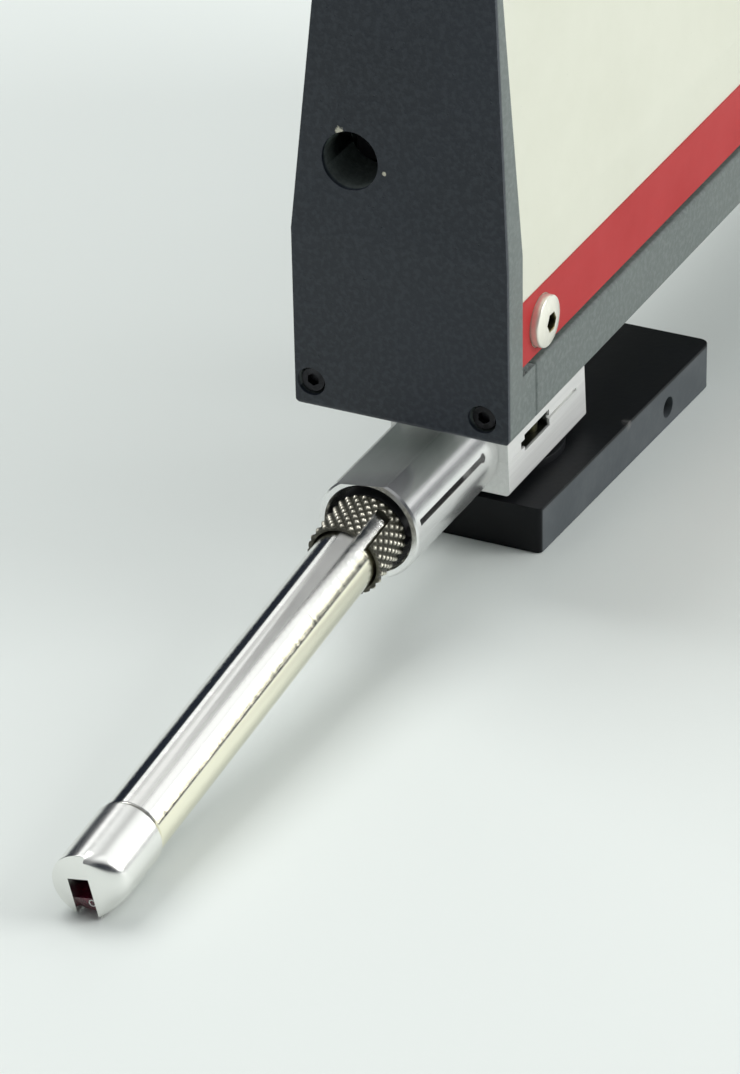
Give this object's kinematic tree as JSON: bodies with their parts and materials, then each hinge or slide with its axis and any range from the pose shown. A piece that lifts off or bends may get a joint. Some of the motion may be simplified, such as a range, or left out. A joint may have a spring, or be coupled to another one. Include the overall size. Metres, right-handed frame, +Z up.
{
  "type": "pocket surface roughness gauge",
  "caption": "Hand-held roughness gauge: slim cast housing on feet, sliding carriage, swivel block and slit barrel carrying a tilting plug-in stylus probe.",
  "frame": {"origin": "on the table under the swivel axis, on the underside of the front foot", "axes": "+X along the housing to the rear, -Y toward the label side, +Z up"},
  "size_m": [0.2151, 0.0264, 0.076],
  "materials": {
    "cast_paint": "dark blue-grey stove paint with fine orange peel",
    "door_paint": "dark blue-grey paint",
    "foot_paint": "dark paint, worn at the corners",
    "label_cream": "smooth cream enamel",
    "strip_red": "printed red strip",
    "bright_screw": "bright plated steel",
    "black_screw": "black oxide",
    "satin_alloy": "satin bright aluminium",
    "can_steel": "drawn steel can",
    "brass": "turned brass",
    "black_plastic": "moulded black plastic",
    "red_plastic": "moulded red plastic",
    "gear_plastic": "natural acetal",
    "board_green": "solder-masked board",
    "display_grey": "grey-green liquid crystal",
    "window_clear": "clear sheet",
    "battery_wrap": "wrapped metal case",
    "knurled_steel": "diamond knurled",
    "chrome_tube": "polished chrome",
    "ruby": "polished dark red sapphire",
    "pickup_tan": "potted piezo element",
    "diamond": "ground diamond cone"
  },
  "bodies": {
    "gauge": {"housing": "cast_paint", "end_plate": "cast_paint", "rear_plate": "cast_paint", "face_panel": "label_cream", "red_strip": "strip_red", "panel_screws": "bright_screw", "end_screws": "black_screw", "rear_screws": "black_screw", "foot_bracket": "foot_paint", "bracket_screws": "black_screw", "set_screw": "black_screw", "rear_foot": "foot_paint", "rear_foot_screws": "black_screw", "front_bracket": "satin_alloy", "drive_bracket": "satin_alloy", "guide_rods": "bright_screw", "motor": "can_steel", "limit_switch": "black_plastic", "main_board": "board_green", "board_screws": "bright_screw", "board_parts": "black_plastic", "display_module": "display_grey", "display_window": "window_clear", "output_jack": "black_plastic", "battery": "battery_wrap", "battery_contacts": "brass", "door_pin": "bright_screw"},
    "door": {"battery_door": "door_paint"},
    "run_key": {"run_button": "red_plastic"},
    "power_key": {"power_button": "black_plastic"},
    "unit_slider": {"unit_switch": "black_plastic"},
    "traverse": {"carriage": "satin_alloy", "pivot_post": "bright_screw", "pivot_screw": "black_screw", "lead_nut": "brass", "detent_ball": "bright_screw", "detent_spring": "bright_screw"},
    "spindle": {"lead_screw": "bright_screw", "drive_gear": "gear_plastic"},
    "rotor": {"motor_pinion": "brass"},
    "swivel": {"swivel_block": "satin_alloy", "probe_barrel": "satin_alloy", "clamp_screw": "brass"},
    "cradle": {"tilt_cradle": "black_plastic", "socket_contacts": "brass"},
    "probe": {"probe_collar": "knurled_steel", "probe_tube": "chrome_tube", "probe_nose": "chrome_tube", "probe_skid": "ruby", "probe_plug": "black_plastic", "pickup": "pickup_tan"},
    "stylus": {"stylus_arm": "bright_screw", "stylus_tip": "diamond"}
  },
  "joints": [
    {"name": "door_hinge", "type": "hinge", "parent": "gauge", "child": "door", "pos_m": [0.1159, 0, 0.0486], "axis": [0, -1, 0], "range_deg": [0, 95]},
    {"name": "run_press", "type": "slide", "parent": "gauge", "child": "run_key", "axis": [0, 0.9971, -0.0767], "range_m": [0, 0.0008], "stiffness_N_per_m": 400, "springref_m": -0.001},
    {"name": "power_press", "type": "slide", "parent": "gauge", "child": "power_key", "axis": [0, 0.9971, -0.0767], "range_m": [0, 0.0008], "stiffness_N_per_m": 400, "springref_m": -0.001},
    {"name": "unit_slide", "type": "slide", "parent": "gauge", "child": "unit_slider", "axis": [1, 0, 0], "range_m": [0, 0.0036]},
    {"name": "traverse_slide", "type": "slide", "parent": "gauge", "child": "traverse", "axis": [1, 0, 0], "range_m": [0, 0.005]},
    {"name": "spindle_turn", "type": "hinge", "parent": "gauge", "child": "spindle", "pos_m": [0, 0, 0.035], "axis": [1, 0, 0], "range_deg": [0, 900.01]},
    {"name": "rotor_turn", "type": "hinge", "parent": "gauge", "child": "rotor", "pos_m": [0, 0, 0.0414], "axis": [1, 0, 0], "range_deg": [-1800.01, 0]},
    {"name": "swivel_turn", "type": "hinge", "parent": "traverse", "child": "swivel", "pos_m": [0, 0, 0.0115], "axis": [0, 0, 1], "range_deg": [-90, 180]},
    {"name": "probe_lift", "type": "hinge", "parent": "swivel", "child": "cradle", "pos_m": [-0.0297, 0, 0.0115], "axis": [0, 1, 0], "range_deg": [0, 7]},
    {"name": "probe_pull", "type": "slide", "parent": "cradle", "child": "probe", "axis": [-0.9934, 0, -0.1151], "range_m": [0, 0.008]},
    {"name": "stylus_rock", "type": "hinge", "parent": "probe", "child": "stylus", "pos_m": [-0.09129, -0.00016, 0.00347], "axis": [0.02, 0.9848, -0.1725], "range_deg": [-1, 2], "stiffness_Nm_per_rad": 0.0002}
  ],
  "couplings": [
    {"joint": "spindle_turn", "follows": "traverse_slide", "rad_per_m": 3141.6},
    {"joint": "rotor_turn", "follows": "traverse_slide", "rad_per_m": -6283.2}
  ]
}
